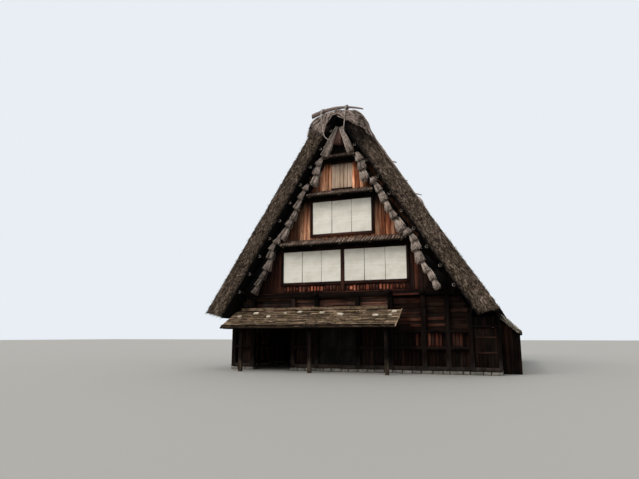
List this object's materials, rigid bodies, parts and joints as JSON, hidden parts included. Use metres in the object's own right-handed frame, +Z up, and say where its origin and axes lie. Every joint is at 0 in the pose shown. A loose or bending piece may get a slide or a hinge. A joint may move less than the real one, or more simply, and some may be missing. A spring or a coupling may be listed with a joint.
{
  "type": "minka farmhouse",
  "caption": "Steep thatched gassho farmhouse with papered gable windows, small board eaves, a porch on posts over the entrance, and sliding and hinged plank doors.",
  "frame": {"origin": "on the ground under the front footing, on the line of the ridge, in the plane of the front wall's posts", "axes": "+Z up, +Y from the front gable along the ridge to the back, +X to the right as seen from the front"},
  "size_m": [15.17, 18.17, 13.0175],
  "materials": {
    "thatch": "weathered dark reed thatch with moss along the verge",
    "reed": "dry grey-brown reed bundles with cut ends",
    "old_timber": "soot-dark timber with open grain",
    "red_boards": "upright red-brown boards, worn to orange in places",
    "dark_boards": "dark brown weathered boards",
    "grey_wood": "sun-bleached grey timber",
    "paper": "white screen paper on a thin wooden lattice",
    "shingle": "weathered split shingles with moss",
    "stone": "rough grey footing stones",
    "rope": "pale straw rope"
  },
  "bodies": {
    "root": {"thatch_left": "thatch", "thatch_right": "thatch", "ridge_thatch": "reed", "ridge_poles": "grey_wood", "roof_frame_left": "old_timber", "roof_frame_right": "old_timber", "front_rope_left": "rope", "front_rope_right": "rope", "front_gable_2f": "red_boards", "front_gable_3f": "red_boards", "front_gable_4f": "red_boards", "front_gable_peak": "reed", "front_windows_2f_left": "paper", "front_windows_2f_right": "paper", "front_windows_3f": "paper", "front_hatch_4f": "grey_wood", "front_eave_2f": "shingle", "front_eave_3f": "shingle", "front_eave_4f": "shingle", "front_reeds_left": "reed", "front_reeds_right": "reed", "front_reeds_peak": "reed", "back_gable_2f": "red_boards", "back_gable_3f": "red_boards", "back_gable_4f": "red_boards", "back_gable_peak": "reed", "back_windows_2f_left": "paper", "back_windows_2f_right": "paper", "back_windows_3f": "paper", "back_hatch_4f": "grey_wood", "back_eave_2f": "shingle", "back_eave_3f": "shingle", "back_eave_4f": "shingle", "back_reeds_left": "reed", "back_reeds_right": "reed", "back_reeds_peak": "reed", "floor_2f": "old_timber", "beams_2f": "old_timber", "floor_3f": "old_timber", "floor_4f": "old_timber", "footing": "stone", "front_frame": "old_timber", "front_boards_left": "dark_boards", "front_boards_entry": "dark_boards", "front_boards_middle": "dark_boards", "front_boards_over": "dark_boards", "front_boards_right": "dark_boards", "left_wall": "dark_boards", "right_posts": "old_timber", "back_wall": "dark_boards", "aisle_front": "old_timber", "aisle_side": "dark_boards", "shed_walls": "dark_boards", "shed_roof": "reed", "porch_roof": "shingle", "porch_frame": "grey_wood"},
    "left_door": {"sliding_door_left": "dark_boards"},
    "right_door": {"sliding_door_right": "dark_boards"},
    "aisle_door": {"aisle_door": "dark_boards"}
  },
  "joints": [
    {"name": "left_door_slide", "type": "slide", "parent": "root", "child": "left_door", "axis": [1, 0, 0], "range_m": [0, 0.885]},
    {"name": "right_door_slide", "type": "slide", "parent": "root", "child": "right_door", "axis": [-1, 0, 0], "range_m": [0, 0.885]},
    {"name": "aisle_door_hinge", "type": "hinge", "parent": "root", "child": "aisle_door", "pos_m": [6.922, -0.04, 0], "axis": [0, 0, 1], "range_deg": [0, 90]}
  ]
}
